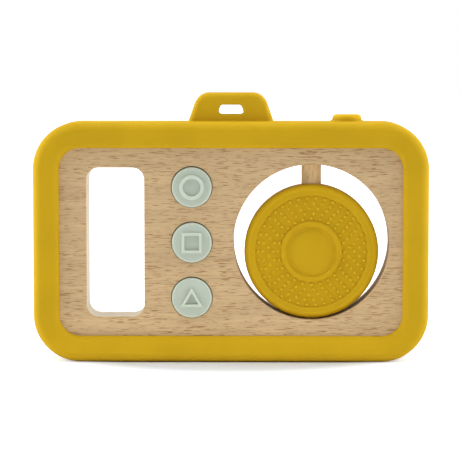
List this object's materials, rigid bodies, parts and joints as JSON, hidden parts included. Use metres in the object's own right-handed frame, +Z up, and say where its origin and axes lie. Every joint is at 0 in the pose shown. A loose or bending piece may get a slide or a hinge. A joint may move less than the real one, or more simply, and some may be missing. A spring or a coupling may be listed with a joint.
{
  "type": "toy camera",
  "caption": "Wooden toy camera in a soft bumper band, with a viewfinder window, a lens disc that spins and slides on a dowel, push buttons, a sprung shutter button and a strap loop.",
  "frame": {"origin": "middle of the flat foot of the band, on the plane that the camera stands on", "axes": "+Z up through the strap loop, +X to the viewer's right along the camera's width, the front with the buttons faces -Y"},
  "size_m": [0.13, 0.02, 0.0885],
  "materials": {
    "beech": "bare beech, sanded, long flecked grain across the face",
    "dowel_beech": "bare beech, turned, grain along the dowel",
    "mustard_silicone": "matt moulded silicone, mustard yellow",
    "sage_silicone": "matt moulded silicone, pale sage green"
  },
  "bodies": {
    "camera_body": {"front_board": "beech", "back_board": "beech", "locating_pins": "dowel_beech", "bumper_band": "mustard_silicone", "strap_loop": "mustard_silicone"},
    "dowel": {"lens_dowel": "dowel_beech"},
    "lens": {"lens_disc": "mustard_silicone"},
    "shutter": {"shutter_button": "mustard_silicone"},
    "circle_push": {"circle_button": "sage_silicone"},
    "square_push": {"square_button": "sage_silicone"},
    "triangle_push": {"triangle_button": "sage_silicone"}
  },
  "joints": [
    {"name": "lens_turn", "type": "hinge", "parent": "camera_body", "child": "dowel", "pos_m": [0.0265, 0, 0.0395], "axis": [0, 0, 1], "continuous": true},
    {"name": "lens_slide", "type": "slide", "parent": "dowel", "child": "lens", "axis": [0, 0, 1], "range_m": [0, 0.0063]},
    {"name": "shutter_press", "type": "slide", "parent": "camera_body", "child": "shutter", "axis": [0, 0, -1], "range_m": [0, 0.0016], "stiffness_N_per_m": 400},
    {"name": "circle_button_press", "type": "slide", "parent": "camera_body", "child": "circle_push", "axis": [0, 1, 0], "range_m": [-0.002, 0.002]},
    {"name": "square_button_press", "type": "slide", "parent": "camera_body", "child": "square_push", "axis": [0, 1, 0], "range_m": [-0.002, 0.002]},
    {"name": "triangle_button_press", "type": "slide", "parent": "camera_body", "child": "triangle_push", "axis": [0, 1, 0], "range_m": [-0.002, 0.002]}
  ]
}
